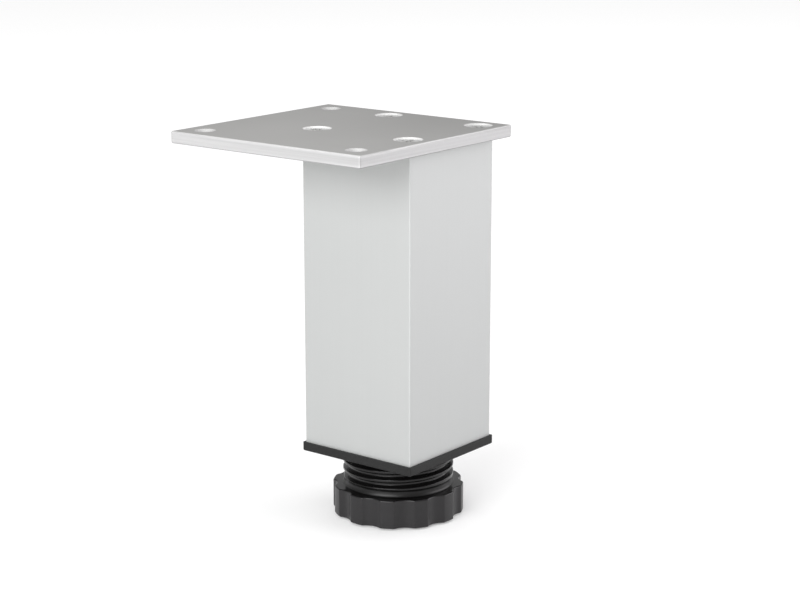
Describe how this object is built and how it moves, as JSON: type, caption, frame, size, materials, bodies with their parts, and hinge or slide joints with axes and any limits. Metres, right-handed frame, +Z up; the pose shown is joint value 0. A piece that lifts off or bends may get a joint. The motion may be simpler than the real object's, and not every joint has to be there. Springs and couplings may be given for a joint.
{
  "type": "adjustable table leg",
  "caption": "Short square aluminium table leg with an offset screw-on top plate and a black screw foot whose lobed hand wheel sets the height.",
  "frame": {"origin": "on the foot's axis, on the floor under the glide", "axes": "+Z up along the tube; the top plate overhangs the tube towards -X and -Y"},
  "size_m": [0.08, 0.08, 0.1336],
  "materials": {
    "plate_metal": "brushed",
    "tube_metal": "satin anodised",
    "screw_steel": "zinc plated",
    "cap_plastic": "matte moulded",
    "foot_plastic": "matte moulded",
    "glide_plastic": "smooth moulded"
  },
  "bodies": {
    "floor_glide": {"floor_glide": "glide_plastic"},
    "foot": {"adjuster_foot": "foot_plastic"},
    "leg": {"top_plate": "plate_metal", "leg_tube": "tube_metal", "plate_screws": "screw_steel", "end_cap": "cap_plastic"}
  },
  "joints": [
    {"name": "leg_lift", "type": "slide", "parent": "floor_glide", "child": "leg", "axis": [0, 0, 1], "range_m": [-0.0115, 0.008]},
    {"name": "foot_turn", "type": "hinge", "parent": "floor_glide", "child": "foot", "pos_m": [0, 0, 0], "axis": [0, 0, -1], "range_deg": [-1380.1, 960.1]}
  ],
  "couplings": [
    {"joint": "foot_turn", "follows": "leg_lift", "rad_per_m": 2094.4}
  ]
}
